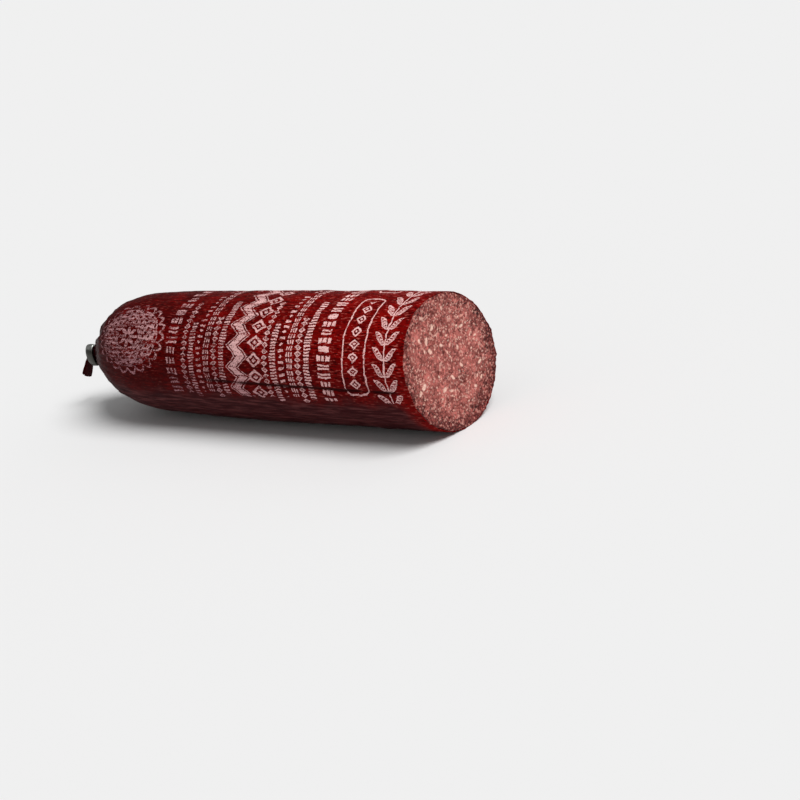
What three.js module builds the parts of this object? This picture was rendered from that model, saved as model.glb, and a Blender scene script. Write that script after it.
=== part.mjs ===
// Cured sausage in a thin film casing, cut straight at one end and clipped shut at the other.
// Millimetres, +Z up. It lies along X with the cut end towards +X, and rests on a flat strip at Z = 0.
// Stations are distances from the cut, measured along the middle of the sausage towards the clip.

import * as THREE from "three";

// Body
const BODY_RADIUS = 32;          // a 64 mm calibre
const BELLY_SWELL = 0.4;         // the filling pushes the middle out by this much
const BELLY_LENGTH = 161;        // the swell has gone this far from the cut
const PRESSED_FLAT = 0.39;       // depth of the strip that its own weight presses flat
const CUT_LEAN = 3.3;            // degrees that the top of the cut leans back
const LEAN_REACH = 40;           // rows this far from the cut stand upright again

// Shoulder, where the full tube closes to the gathered neck
const SHOULDER_START = 97;
const SHOULDER_END = 250;
const SHOULDER_HOLD = 8.8;       // the higher, the longer the tube keeps its full radius
const SHOULDER_TAPER = 1.55;     // the higher, the longer and thinner the cone at its end
const SHOULDER_RISE = 2.2;       // the middle climbs as the underside lifts off
const RISE_POWER = 2.8;

// Gathered neck, which sags before the clip
const NECK_RADIUS = 6.4;
const SIDE_SQUEEZE_START = 250;  // the neck flattens from its sides first
const SQUEEZE_START = 256.4;     // its height stays full up to here, close before the clip
const SAG_START = 236;
const SAG_END = 262;
const NECK_SAG = 5.5;
const PLEAT_COUNT = 12;
const PLEATS_START = 218;
const PLEAT_SHARE = 0.16;        // depth of a pleat, as a share of the local radius

// Clip: one flat aluminium wire closed round the neck
const CLIP_STATION = 261.6;
const CLIP_LENGTH = 5.6;         // width of the wire, along the sausage
const CLIP_THICKNESS = 1.6;
const CLIP_GAP_ANGLE = 0.34;     // radians between the two wire ends, under the neck
const CLIP_CLEARANCE = 0.3;
const CLIP_STEPS = 36;
const NECK_HALF_WIDTH = 1.6;     // the neck inside the clip
const NECK_HALF_HEIGHT = 4.5;

// Stub of loose casing beyond the clip, which hangs down
const STUB_DROP = 2.6;           // the stub leaves low in the clip's opening
const BEND_STATION = 265;
const BEND_RADIUS = 2.6;
const BEND_ANGLE = 52;           // degrees
const STUB_LENGTH = 11;          // straight part below the bend
const STUB_HALF_WIDTH = 2.7;
const STUB_HALF_DEPTH = 1.7;
const TIP_FLARE = 1.25;
const RELEASE_LENGTH = 1;        // the squeezed neck has opened into the stub this far into the bend

// Layers, each measured in from the outside of the casing
const WALL = 0.4;
const FILLING_GAP = 0.3;
const CAVITY_CAP_START = 232;    // from here the filling rounds off inside the gathers
const CAVITY_CAP_END = 246;
const RIM_STATION = 0.5;         // the casing's edge lies just behind the cut face
const EDGE_ROUNDING = 0.8;

// Cut face
const FACE_RINGS = 14;
const GRAIN_HEIGHT = 0.22;       // ground meat stands up and drops away by this much
const GRAIN_SPACING = 6;

const SEGMENTS = 48;
const AXIS_HEIGHT = BODY_RADIUS - PRESSED_FLAT;
const BEND_TURN = THREE.MathUtils.degToRad(BEND_ANGLE);
const BEND_END = BEND_STATION + BEND_RADIUS * BEND_TURN;
const STUB_END = BEND_END + STUB_LENGTH;
const LEAN_SLOPE = Math.tan(THREE.MathUtils.degToRad(CUT_LEAN));

const { clamp, lerp, smoothstep } = THREE.MathUtils;

// Evenly spaced stations from one to another, both included.
function stationsBetween(first, last, count) {
  return Array.from({ length: count }, (_, i) => lerp(first, last, i / (count - 1)));
}

// Outer radius of the tube and its shoulder.
function tubeRadius(station) {
  const swell = BELLY_SWELL * Math.sin(Math.PI * clamp(station / BELLY_LENGTH, 0, 1));
  const along = clamp((station - SHOULDER_START) / (SHOULDER_END - SHOULDER_START), 0, 1);
  const fullness = (1 - along ** SHOULDER_HOLD) ** SHOULDER_TAPER;
  return NECK_RADIUS + (BODY_RADIUS + swell - NECK_RADIUS) * fullness;
}

// Half width and half height of the outside, from the cut to the tip of the stub.
function outerHalfSizes(station) {
  if (station <= SHOULDER_END) {
    const radius = tubeRadius(station);
    return [radius, radius];
  }
  const clipStart = CLIP_STATION - CLIP_LENGTH / 2;
  const clipEnd = CLIP_STATION + CLIP_LENGTH / 2;
  const squeezedSides = smoothstep(station, SIDE_SQUEEZE_START, clipStart);
  const squeezed = smoothstep(station, SQUEEZE_START, clipStart);
  const released = smoothstep(station, clipEnd, BEND_STATION + RELEASE_LENGTH);
  const flare = lerp(1, TIP_FLARE, smoothstep(station, BEND_END, STUB_END));
  const neckWidth = lerp(NECK_RADIUS, NECK_HALF_WIDTH, squeezedSides);
  const neckHeight = lerp(NECK_RADIUS, NECK_HALF_HEIGHT, squeezed);
  return [
    lerp(neckWidth, STUB_HALF_WIDTH, released) * flare,
    lerp(neckHeight, STUB_HALF_DEPTH, released) * flare,
  ];
}

// A point on the middle line: how far along, how high, and how far it has turned down.
function middleLine(station) {
  const along = clamp((station - SHOULDER_START) / (SHOULDER_END - SHOULDER_START), 0, 1);
  const rise = SHOULDER_RISE * along ** RISE_POWER;
  const sag = NECK_SAG * smoothstep(station, SAG_START, SAG_END);
  const drop = STUB_DROP * smoothstep(station, CLIP_STATION + CLIP_LENGTH / 2, BEND_STATION + RELEASE_LENGTH);
  const height = AXIS_HEIGHT + rise - sag - drop;
  const turn = clamp((station - BEND_STATION) / BEND_RADIUS, 0, BEND_TURN);
  const beyond = Math.max(station - BEND_END, 0);
  return {
    along: Math.min(station, BEND_STATION) + BEND_RADIUS * Math.sin(turn) + beyond * Math.cos(turn),
    height: height - BEND_RADIUS * (1 - Math.cos(turn)) - beyond * Math.sin(turn),
    turn,
  };
}

// Pleats deepen towards the neck, and no two are quite as deep.
function pleatShare(station, angle) {
  const grown = smoothstep(station, PLEATS_START, SHOULDER_END);
  const uneven = 0.75 + 0.25 * Math.sin(5 * angle + 1);
  return PLEAT_SHARE * grown * uneven * (0.5 - 0.5 * Math.cos(PLEAT_COUNT * angle));
}

// Low bumps and pits of ground meat on the cut face.
function grainRelief(across, up) {
  const wave = (2 * Math.PI) / GRAIN_SPACING;
  const bumps = Math.sin(wave * across + 1.7 * Math.sin(wave * up * 0.4));
  return GRAIN_HEIGHT * bumps * Math.sin(wave * up * 0.8 + 2.1 * Math.sin(wave * across * 0.3));
}

// One ring of the revolved outline: its station, its half sizes, its depth below the outside,
// and how much of the grain relief it shows.
function ring(station, halfWidth, halfHeight, depth, grain = 0) {
  return { station, halfWidth, halfHeight, depth, grain };
}

function outerRing(station) {
  const [halfWidth, halfHeight] = outerHalfSizes(station);
  return ring(station, halfWidth, halfHeight, 0);
}

// Radius of a layer that lies a true thickness inside the tube, rounded off at its closed end.
function layerRadius(station, depth, capEnd) {
  const slope = tubeRadius(station + 0.5) - tubeRadius(station - 0.5);
  const capped = clamp((station - CAVITY_CAP_START) / (capEnd - CAVITY_CAP_START), 0, 1);
  return (tubeRadius(station) - depth * Math.hypot(1, slope)) * Math.sqrt(1 - capped ** 2);
}

function layerRing(station, depth, capEnd) {
  const radius = layerRadius(station, depth, capEnd);
  return ring(station, radius, radius, depth);
}

// Place the lathe's vertices round the middle line. Angle 0 is underneath.
function shapeRings(rings, material, name) {
  const outline = rings.map((r) => new THREE.Vector2(r.halfWidth, r.station));
  const halfStep = Math.PI / SEGMENTS;
  const geometry = new THREE.LatheGeometry(outline, SEGMENTS, halfStep);
  const position = geometry.attributes.position;
  for (let i = 0; i < position.count; i++) {
    const r = rings[i % rings.length];
    const column = Math.floor(i / rings.length) % SEGMENTS;
    const angle = halfStep + (column * 2 * Math.PI) / SEGMENTS;
    const middle = middleLine(r.station);
    const gathered = 1 - pleatShare(r.station, angle);
    const across = -r.halfWidth * gathered * Math.sin(angle);
    const up = -r.halfHeight * gathered * Math.cos(angle);
    const height = Math.max(middle.height + up * Math.cos(middle.turn), r.depth);
    const lean = LEAN_SLOPE * (height - BODY_RADIUS) * clamp(1 - r.station / LEAN_REACH, 0, 1);
    const along = middle.along + up * Math.sin(middle.turn) + lean - r.grain * grainRelief(across, up);
    position.setXYZ(i, -along, across, height);
  }
  geometry.computeVertexNormals();
  const mesh = new THREE.Mesh(geometry, material);
  mesh.name = name;
  return mesh;
}

// Stations of the tube and shoulder, closer together where the shoulder turns in.
const TUBE_STATIONS = [
  ...stationsBetween(20, 160, 8),
  ...stationsBetween(172, 196, 3),
  ...stationsBetween(204, CAVITY_CAP_START, 6),
];
const CAP_STEPS = [0.3, 0.55, 0.77, 0.93];

function capStations(capEnd) {
  return CAP_STEPS.map((step) => lerp(CAVITY_CAP_START, capEnd, step));
}

// Casing: a cup of film round the filling, and solid gathers from the neck to the tip.
function makeCasing() {
  const clipStart = CLIP_STATION - CLIP_LENGTH / 2;
  const clipEnd = CLIP_STATION + CLIP_LENGTH / 2;
  const inner = [RIM_STATION, ...TUBE_STATIONS, ...capStations(CAVITY_CAP_END)];
  const outer = [
    RIM_STATION,
    ...TUBE_STATIONS,
    ...stationsBetween(237, SHOULDER_END, 4),
    ...stationsBetween(SQUEEZE_START - 4, SQUEEZE_START, 3),
    ...stationsBetween(SQUEEZE_START + 0.8, clipStart, 3),
    clipEnd,
    ...stationsBetween(BEND_STATION, BEND_END, 6),
    ...stationsBetween(BEND_END + 2, STUB_END, 4),
  ];
  const rings = [
    ring(CAVITY_CAP_END, 0, 0, WALL),
    ...inner.reverse().map((station) => layerRing(station, WALL, CAVITY_CAP_END)),
    ...outer.map(outerRing),
    ring(STUB_END, 0, 0, 0),
  ];
  const film = new THREE.MeshStandardMaterial({ color: 0x8a1512, roughness: 0.38, metalness: 0 });
  return shapeRings(rings, film, "casing");
}

// Meat: fills the casing and shows at the cut, with a rounded edge and a grainy face.
function makeMeat() {
  const depth = WALL + FILLING_GAP;
  const capEnd = CAVITY_CAP_END - FILLING_GAP;
  const edgeRadius = layerRadius(0, depth, capEnd);
  const face = [ring(0, 0, 0, depth, 1)];
  for (let i = 1; i < FACE_RINGS; i++) {
    const radius = (edgeRadius - EDGE_ROUNDING) * (i / (FACE_RINGS - 1));
    face.push(ring(0, radius, radius, depth, i < FACE_RINGS - 1 ? 1 : 0));
  }
  const corner = edgeRadius - EDGE_ROUNDING * (1 - Math.SQRT1_2);
  const rings = [
    ...face,
    ring(EDGE_ROUNDING * (1 - Math.SQRT1_2), corner, corner, depth),
    layerRing(EDGE_ROUNDING, depth, capEnd),
    ...[...TUBE_STATIONS, ...capStations(capEnd)].map((station) => layerRing(station, depth, capEnd)),
    ring(capEnd, 0, 0, depth),
  ];
  const groundMeat = new THREE.MeshStandardMaterial({ color: 0xa8645a, roughness: 0.6, metalness: 0 });
  return shapeRings(rings, groundMeat, "meat");
}

// Middle of the clip's wire: an upright oval round the neck, open underneath.
class ClipOval extends THREE.Curve {
  constructor(halfWidth, halfHeight) {
    super();
    this.halfWidth = halfWidth;
    this.halfHeight = halfHeight;
  }

  getPoint(t) {
    const angle = lerp(CLIP_GAP_ANGLE / 2, 2 * Math.PI - CLIP_GAP_ANGLE / 2, t);
    return new THREE.Vector3(0, -this.halfWidth * Math.sin(angle), -this.halfHeight * Math.cos(angle));
  }
}

function makeClip() {
  const reach = CLIP_CLEARANCE + CLIP_THICKNESS / 2;
  const oval = new ClipOval(NECK_HALF_WIDTH + reach, NECK_HALF_HEIGHT + reach);
  const bevel = CLIP_THICKNESS * 0.3;
  const halfThickness = CLIP_THICKNESS / 2;
  const halfLength = CLIP_LENGTH / 2;
  const section = new THREE.Shape([
    new THREE.Vector2(-halfLength + bevel, -halfThickness),
    new THREE.Vector2(halfLength - bevel, -halfThickness),
    new THREE.Vector2(halfLength, -halfThickness + bevel),
    new THREE.Vector2(halfLength, halfThickness - bevel),
    new THREE.Vector2(halfLength - bevel, halfThickness),
    new THREE.Vector2(-halfLength + bevel, halfThickness),
    new THREE.Vector2(-halfLength, halfThickness - bevel),
    new THREE.Vector2(-halfLength, -halfThickness + bevel),
  ]);
  const geometry = new THREE.ExtrudeGeometry(section, { steps: CLIP_STEPS, extrudePath: oval });
  const aluminium = new THREE.MeshStandardMaterial({ color: 0xb9bbb8, roughness: 0.3, metalness: 1 });
  const mesh = new THREE.Mesh(geometry, aluminium);
  mesh.name = "clip";
  mesh.position.set(-CLIP_STATION, 0, middleLine(CLIP_STATION).height);
  return mesh;
}

// The origin is under the middle of the sausage's length, on the surface that it lies on.
const sausage = new THREE.Group();
sausage.add(makeCasing(), makeMeat(), makeClip());
const bounds = new THREE.Box3().setFromObject(sausage);
sausage.position.x = -(bounds.min.x + bounds.max.x) / 2;

export default sausage;
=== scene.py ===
import math
import random

import bmesh
import bpy
from bpy.props import FloatProperty, IntProperty, PointerProperty, StringProperty
from mathutils import Matrix, Vector, kdtree, noise


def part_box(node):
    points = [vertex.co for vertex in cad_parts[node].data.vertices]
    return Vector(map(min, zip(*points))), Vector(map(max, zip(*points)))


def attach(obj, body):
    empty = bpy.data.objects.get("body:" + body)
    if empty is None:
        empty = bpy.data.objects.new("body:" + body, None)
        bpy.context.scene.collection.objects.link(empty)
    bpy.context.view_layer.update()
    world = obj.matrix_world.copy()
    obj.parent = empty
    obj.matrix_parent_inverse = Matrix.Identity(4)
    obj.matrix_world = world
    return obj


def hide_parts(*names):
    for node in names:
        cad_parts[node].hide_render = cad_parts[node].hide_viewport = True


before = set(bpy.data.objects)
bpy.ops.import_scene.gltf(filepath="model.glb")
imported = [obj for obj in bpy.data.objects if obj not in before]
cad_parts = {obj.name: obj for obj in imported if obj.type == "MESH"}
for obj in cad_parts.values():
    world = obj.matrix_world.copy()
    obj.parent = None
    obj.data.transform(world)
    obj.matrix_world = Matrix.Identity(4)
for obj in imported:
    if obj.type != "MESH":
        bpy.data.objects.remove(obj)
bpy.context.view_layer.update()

bl_info = {
    "name": "Cured sausage",
    "version": (1, 0, 0),
    "blender": (4, 5, 0),
    "location": "View3D > Sidebar > Sausage",
    "description": "Builds a cut cured sausage with its printed casing, its meat and its clip",
    "category": "Object",
}

MM = 0.001
TURN = 2 * math.pi

# The outline is the solids' own. Stations are distances from the cut, towards the clip.
BODY_RADIUS = 32 * MM
BELLY_SWELL = 0.4 * MM
BELLY_LENGTH = 161 * MM
AXIS_HEIGHT = BODY_RADIUS - 0.39 * MM
CUT_LEAN = math.radians(3.3)
LEAN_REACH = 40 * MM
SHOULDER_START = 97 * MM
SHOULDER_END = 250 * MM
SHOULDER_HOLD = 8.8
SHOULDER_TAPER = 1.55
SHOULDER_RISE = 2.2 * MM
RISE_POWER = 2.8
NECK_RADIUS = 6.4 * MM
SIDE_SQUEEZE_START = 250 * MM
SQUEEZE_START = 256.4 * MM
SAG_START = 236 * MM
SAG_END = 262 * MM
NECK_SAG = 5.5 * MM
CLIP_STATION = 261.6 * MM
CLIP_LENGTH = 5.6 * MM
CLIP_START = CLIP_STATION - CLIP_LENGTH / 2
CLIP_END = CLIP_STATION + CLIP_LENGTH / 2
NECK_HALF_WIDTH = 1.6 * MM
NECK_HALF_HEIGHT = 4.5 * MM
STUB_DROP = 2.6 * MM
BEND_STATION = 265 * MM
BEND_RADIUS = 2.6 * MM
BEND_TURN = math.radians(52)
BEND_END = BEND_STATION + BEND_RADIUS * BEND_TURN
STUB_END = BEND_END + 11 * MM
STUB_HALF_WIDTH = 2.7 * MM
STUB_HALF_DEPTH = 1.7 * MM
TIP_FLARE = 1.25
TIP_SLANT = 1.8 * MM
RELEASED = BEND_STATION + 1 * MM
RIM_STATION = 0.5 * MM
CAVITY_CAP_START = 232 * MM
CAVITY_CAP_END = 246 * MM

# The clip stands square on its station, so its middle gives the cut's place.
CLIP_LOW, CLIP_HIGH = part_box("clip")
CUT_X = (CLIP_LOW.x + CLIP_HIGH.x) / 2 + CLIP_STATION

# Film round the body, measured from underneath up the side that is seen.
HALF_GIRTH = math.pi * BODY_RADIUS / MM

# Kinds of shader node. A math node has its operation after its kind.
ATTRIBUTE = "Attribute"
COMBINE = "CombineXYZ"
MAPPING = "Mapping"
MIX = "Mix"
NOISE = "TexNoise"
RANDOM = "TexWhiteNoise"
RANGE = "MapRange"
SEPARATE = "SeparateXYZ"
PLUS = "Math ADD"
MINUS = "Math SUBTRACT"
TIMES = "Math MULTIPLY"
OVER = "Math DIVIDE"
TIMES_PLUS = "Math MULTIPLY_ADD"
LARGEST = "Math MAXIMUM"
ABOVE = "Math GREATER_THAN"
BELOW = "Math LESS_THAN"
NEAR = "Math COMPARE"
SIZE = "Math ABSOLUTE"
FLOOR = "Math FLOOR"
FRACTION = "Math FRACT"
REMAINDER = "Math FLOORED_MODULO"
ZIGZAG = "Math PINGPONG"
COSINE = "Math COSINE"
BEARING = "Math ARCTAN2"
VECTOR_PLUS = "VectorMath ADD"
VECTOR_MINUS = "VectorMath SUBTRACT"
VECTOR_SCALE = "VectorMath SCALE"
VECTOR_LENGTH = "VectorMath LENGTH"


class FilmSettings(bpy.types.PropertyGroup):
    film_colour: StringProperty(name="Film", description="Dyed film, as sRGB hex", default="8A0806")
    # Shade is the colour of the mottling and of the painted shade that darkens the film towards the clip.
    mottle_and_shade_colour: StringProperty(name="Shade", description="Film in folds, as sRGB hex", default="480303")
    # Strip is the film underneath, darkened as painted shade.
    shaded_underside_colour: StringProperty(name="Strip", description="Film underneath, as sRGB hex", default="331114")
    ink_colour: StringProperty(name="Ink", description="Printed pale pink, as sRGB hex", default="FFCCC8")
    # Worn ink is the ink where it fades towards the clip, and where painted shade darkens it low on each
    # side.
    faded_and_shaded_ink_colour: StringProperty(name="Worn ink", description="Worn print, as sRGB hex", default="B27E85")
    wall: FloatProperty(name="Wall", description="Thickness of the film", default=0.25 * MM, unit="LENGTH")
    wrinkle_depth: FloatProperty(
        name="Wrinkles", description="Depth of the lengthwise wrinkles", default=0.2 * MM, unit="LENGTH"
    )
    crease_depth: FloatProperty(
        name="Crease", description="Depth of the long crease on the side", default=0.6 * MM, unit="LENGTH"
    )
    pleat_count: IntProperty(name="Pleats", description="Main pleats round the neck", default=12, min=4)
    pleat_share: FloatProperty(name="Pleat depth", description="Share of the local radius", default=0.16)
    columns: IntProperty(name="Columns", description="Columns of faces round the film", default=300, min=48)


class MeatSettings(bpy.types.PropertyGroup):
    lean_colour: StringProperty(name="Lean", description="Lean meat, as sRGB hex", default="C57067")
    dark_colour: StringProperty(name="Dark lean", description="Dark grains, as sRGB hex", default="541B16")
    fat_colour: StringProperty(name="Fat", description="Fat grains, as sRGB hex", default="E8BDAC")
    # Edge is the tint of the dried rim, which painted shade widens low on the far side.
    rim_and_shade_colour: StringProperty(name="Edge", description="Tint of dried meat, as sRGB hex", default="905C5D")
    grain_size: FloatProperty(name="Grain", description="Width of a grain", default=0.8 * MM, unit="LENGTH")
    grain_height: FloatProperty(name="Relief", description="Of the grains", default=0.24 * MM, unit="LENGTH")
    fleck_count: IntProperty(name="Flecks", description="Larger flecks of fat on the cut", default=38, min=0)
    grid: IntProperty(name="Grid", description="Faces across the cut", default=250, min=20)


class ClipSettings(bpy.types.PropertyGroup):
    metal_colour: StringProperty(name="Wire", description="Aluminium wire, as sRGB hex", default="B9BBB6")
    thickness: FloatProperty(name="Thickness", description="Of the wire", default=1.6 * MM, unit="LENGTH")
    clearance: FloatProperty(name="Clearance", description="Round the neck", default=0.3 * MM, unit="LENGTH")
    gap_angle: FloatProperty(name="Gap", description="Between the wire ends", default=0.34, subtype="ANGLE")


class StageSettings(bpy.types.PropertyGroup):
    azimuth: FloatProperty(
        name="Azimuth", description="Camera's turn", default=math.radians(45.35), subtype="ANGLE"
    )
    elevation: FloatProperty(
        name="Elevation", description="Camera's height angle", default=math.radians(19.1), subtype="ANGLE"
    )
    roll: FloatProperty(name="Roll", description="Camera roll", default=math.radians(-15.2), subtype="ANGLE")
    distance: FloatProperty(name="Distance", description="To the cut", default=769.6 * MM, unit="LENGTH")
    floor_colour: StringProperty(name="Floor", description="Plain pale floor, as sRGB hex", default="EEEEEE")
    sky_strength: FloatProperty(name="Sky", description="Strength of the even light all round", default=0.28)
    key_strength: FloatProperty(name="Key", description="Strength of the soft key light", default=2.9)


# Photograph frame: side and focal length in pixels, and where the middle of the cut shows.
FRAME_PIXELS = 800
FOCAL_PIXELS = 1711.3
CUT_PIXEL = (451.4, 360.6)

KEY_FROM = Vector((0.6, 0.0, 0.8))
KEY_SPREAD = math.radians(35)
FLOOR_HALF_SIZE = 6.0


def clamp(value, low=0.0, high=1.0):
    return min(max(value, low), high)


def part_way(value, low, high):
    """How far a value has come from one limit to another, from 0 to 1."""
    return clamp((value - low) / (high - low))


def smoothstep(value, low, high):
    along = part_way(value, low, high)
    return along * along * (3 - 2 * along)


def lerp(first, last, share):
    return first + (last - first) * share


def linear_colour(hex_text):
    """Linear RGBA of an sRGB hex colour."""
    shares = [int(hex_text[i:i + 2], 16) / 255 for i in (0, 2, 4)]
    return [s / 12.92 if s <= 0.04045 else ((s + 0.055) / 1.055) ** 2.4 for s in shares] + [1.0]


def add(tree, kind, *values, **named):
    """Add a node. Values and links go to its inputs in order or by name. Small letters name its settings."""
    kind, *operation = kind.split()
    node = tree.nodes.new("ShaderNode" + kind)
    if operation:
        node.operation = operation[0]
    inputs = dict(enumerate(values))
    for name, value in named.items():
        if name.islower():
            setattr(node, name, value)
        else:
            inputs[name] = value
    for key, value in inputs.items():
        if isinstance(value, bpy.types.Node):
            value = value.outputs[0]
        if isinstance(value, bpy.types.NodeSocket):
            tree.links.new(value, node.inputs[key])
        else:
            node.inputs[key].default_value = value
    return node


def new_material(name, sockets):
    """A node material with nothing but its Principled shader, which has some values of its own."""
    material = bpy.data.materials.new(name)
    material.use_nodes = True
    tree = material.node_tree
    tree.nodes.clear()
    shader = add(tree, "BsdfPrincipled", **sockets)
    add(tree, "OutputMaterial", shader)
    return material, tree, shader


def finish_piece(bm, name, material, node):
    """Turn a bmesh into a finished piece that stands for a node."""
    mesh = bpy.data.meshes.new(name)
    bm.to_mesh(mesh)
    bm.free()
    mesh.materials.append(material)
    piece = bpy.data.objects.new(name, mesh)
    bpy.context.scene.collection.objects.link(piece)
    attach(piece, "root")
    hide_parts(node)
    return piece


def extruded(bm, edges):
    """Draw out some edges in place, and give the new verts and edges."""
    made = bmesh.ops.extrude_edge_only(bm, edges=edges)["geom"]
    kinds = (bmesh.types.BMVert, bmesh.types.BMEdge)
    return [[element for element in made if isinstance(element, kind)] for kind in kinds]


def edges_between(verts):
    """The edges that join some verts to each other."""
    return list(dict.fromkeys(e for v in verts for e in v.link_edges if e.other_vert(v) in verts))


# Outline of the sausage

def tube_radius(station):
    """Outer radius of the tube and its shoulder."""
    swell = BELLY_SWELL * math.sin(math.pi * clamp(station / BELLY_LENGTH))
    along = part_way(station, SHOULDER_START, SHOULDER_END)
    fullness = (1 - along ** SHOULDER_HOLD) ** SHOULDER_TAPER
    return NECK_RADIUS + (BODY_RADIUS + swell - NECK_RADIUS) * fullness


def outer_half_sizes(station):
    """Half width and half height of the outside, from the cut to the tip of the stub."""
    if station <= SHOULDER_END:
        radius = tube_radius(station)
        return radius, radius
    squeezed_sides = smoothstep(station, SIDE_SQUEEZE_START, CLIP_START)
    squeezed = smoothstep(station, SQUEEZE_START, CLIP_START)
    released = smoothstep(station, CLIP_END, RELEASED)
    flare = lerp(1, TIP_FLARE, smoothstep(station, BEND_END, STUB_END))
    neck_width = lerp(NECK_RADIUS, NECK_HALF_WIDTH, squeezed_sides)
    neck_height = lerp(NECK_RADIUS, NECK_HALF_HEIGHT, squeezed)
    width = lerp(neck_width, STUB_HALF_WIDTH, released) * flare
    height = lerp(neck_height, STUB_HALF_DEPTH, released) * flare
    return width, height


def layer_half_sizes(station, depth):
    """Half sizes of a layer that lies a true thickness inside the tube, rounded off at its end."""
    slope = (tube_radius(station + MM / 2) - tube_radius(station - MM / 2)) / MM
    capped = part_way(station, CAVITY_CAP_START, CAVITY_CAP_END - depth)
    radius = (tube_radius(station) - depth * math.hypot(1, slope)) * math.sqrt(1 - capped ** 2)
    return radius, radius


def middle_line(station):
    """A point on the middle line: how far along, how high, and how far it has turned down."""
    along = part_way(station, SHOULDER_START, SHOULDER_END)
    sag = NECK_SAG * smoothstep(station, SAG_START, SAG_END)
    drop = STUB_DROP * smoothstep(station, CLIP_END, RELEASED)
    height = AXIS_HEIGHT + SHOULDER_RISE * along ** RISE_POWER - sag - drop
    turn = clamp((station - BEND_STATION) / BEND_RADIUS, 0, BEND_TURN)
    beyond = max(station - BEND_END, 0)
    along_x = min(station, BEND_STATION) + BEND_RADIUS * math.sin(turn) + beyond * math.cos(turn)
    return along_x, height - BEND_RADIUS * (1 - math.cos(turn)) - beyond * math.sin(turn), turn


def skin_place(station, angle, half_sizes, floor):
    """A layer's point at a station and an angle. Angle 0 is underneath, and it grows up the seen side."""
    station -= TIP_SLANT * math.sin(angle) * smoothstep(station, BEND_END, STUB_END)
    along, height, turn = middle_line(station)
    across = -half_sizes[0] * math.sin(angle)
    up = -half_sizes[1] * math.cos(angle)
    height = max(height + up * math.cos(turn), floor)
    lean = math.tan(CUT_LEAN) * (height - BODY_RADIUS) * clamp(1 - station / LEAN_REACH)
    return Vector((CUT_X - along - up * math.sin(turn) - lean, across, height))


def rows_in(stretches):
    """Stations of rows that split each stretch, from its first to its last station, into equal parts."""
    return [lerp(first, last, i / count) for first, last, count in stretches for i in range(count)]


def waves(angle, rate, station=0.0, length=MM, shift=(0, 0)):
    """Smooth noise from -1 to 1, with a rate round the sausage and a wave length along it."""
    across = rate * math.cos(angle) + shift[0]
    return noise.noise(Vector((across, rate * math.sin(angle) + shift[1], station / length)))


def film_length(step=MM):
    """Length of film from the cut to each station, one entry for each step."""
    lengths = [0.0]
    for i in range(int(STUB_END / step) + 2):
        rise = outer_half_sizes((i + 1) * step)[1] - outer_half_sizes(i * step)[1]
        lengths.append(lengths[-1] + math.hypot(step, rise))
    return lengths


# Casing

CREASE_STATIONS = (2 * MM, 150 * MM)
CREASE_ANGLES = (math.radians(85.6), math.radians(90.6))
CREASE_WIDTH = 0.8 * MM
MEAN_SINK = 0.3 * MM
SLOW_WAVES = 0.45 * MM
EDGE_CURL = 0.15 * MM
RIM_TEAR = 0.5 * MM
FOLD_START = 190 * MM
PLEAT_START = 218 * MM
WRINKLE_END = 225 * MM
BELLY_END = 160 * MM
THIN_WALL_END = 2 * MM
THICK_WALL_START = 14 * MM
THICK_WALL = 1.3 * MM
SHARP_EDGE = math.radians(60)


def crease(station, angle):
    """How deep the long crease is, from 0 to 1."""
    along = (station - CREASE_STATIONS[0]) / (CREASE_STATIONS[1] - CREASE_STATIONS[0])
    if not 0 < along < 1:
        return 0.0
    wander = 0.012 * waves(angle, 0, station, 14 * MM)
    away = (angle - lerp(*CREASE_ANGLES, along) - wander) * BODY_RADIUS / CREASE_WIDTH
    broken = smoothstep(waves(angle, 0, station, 17 * MM, (3, 7)), -0.55, -0.1)
    return math.exp(-away * away) * broken * smoothstep(along, 0, 0.08) * smoothstep(1 - along, 0, 0.2)


def film_relief(station, angle, settings):
    """How far the film sinks below the plain outline on the tube."""
    radius = BODY_RADIUS / MM
    slow = waves(angle, 1.6, station, 26 * MM)
    wide = waves(angle, radius / 4.5, station, 45 * MM)
    fine = waves(angle, radius / 1.7, station, 16 * MM, (9, 0))
    dimple = waves(angle, radius / 6, station, 8 * MM, (0, 5))
    wrinkles = settings.wrinkle_depth * (wide + 0.6 * fine + 1.3 * dimple)
    edge = EDGE_CURL * (1 - smoothstep(station, RIM_STATION, 4 * MM)) * (1 + dimple)
    sunk = MEAN_SINK + SLOW_WAVES * slow + wrinkles + edge
    return max(sunk, 0) + settings.crease_depth * crease(station, angle)


def gathers(station, angle, settings):
    """Share of the radius that pleats and small folds take away, deepening towards the neck."""
    grown = smoothstep(station, PLEAT_START, SHOULDER_END)
    uneven = 0.75 + 0.25 * math.sin(5 * angle + 1)
    main = settings.pleat_share * grown * uneven * (0.5 - 0.5 * math.cos(settings.pleat_count * angle))
    begun = smoothstep(station, FOLD_START, SHOULDER_END) ** 2
    folds = abs(waves(angle, 3.6, station, 24 * MM, (2, 0)))
    small = abs(waves(angle, 8, station, 13 * MM, (0, 4)))
    return main + begun * (0.16 * (folds - 0.2) + 0.12 * (small - 0.15))


def skin_sizes(station, angle, depth, settings):
    """Half sizes of the film's outside, or of a layer at a depth below it, gathers and wrinkles included."""
    width, height = layer_half_sizes(station, depth) if depth else outer_half_sizes(station)
    left = 1 - gathers(station, angle, settings)
    sunk = film_relief(station, angle, settings) * (1 - smoothstep(station, WRINKLE_END, SHOULDER_END))
    return max(width * left - sunk, 0), max(height * left - sunk, 0)


def wall_depth(station, settings):
    """Depth of the hidden wall. It is thin at the rim, and thick enough inside to carry the filling."""
    return lerp(settings.wall, THICK_WALL, smoothstep(station, THIN_WALL_END, THICK_WALL_START))


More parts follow.
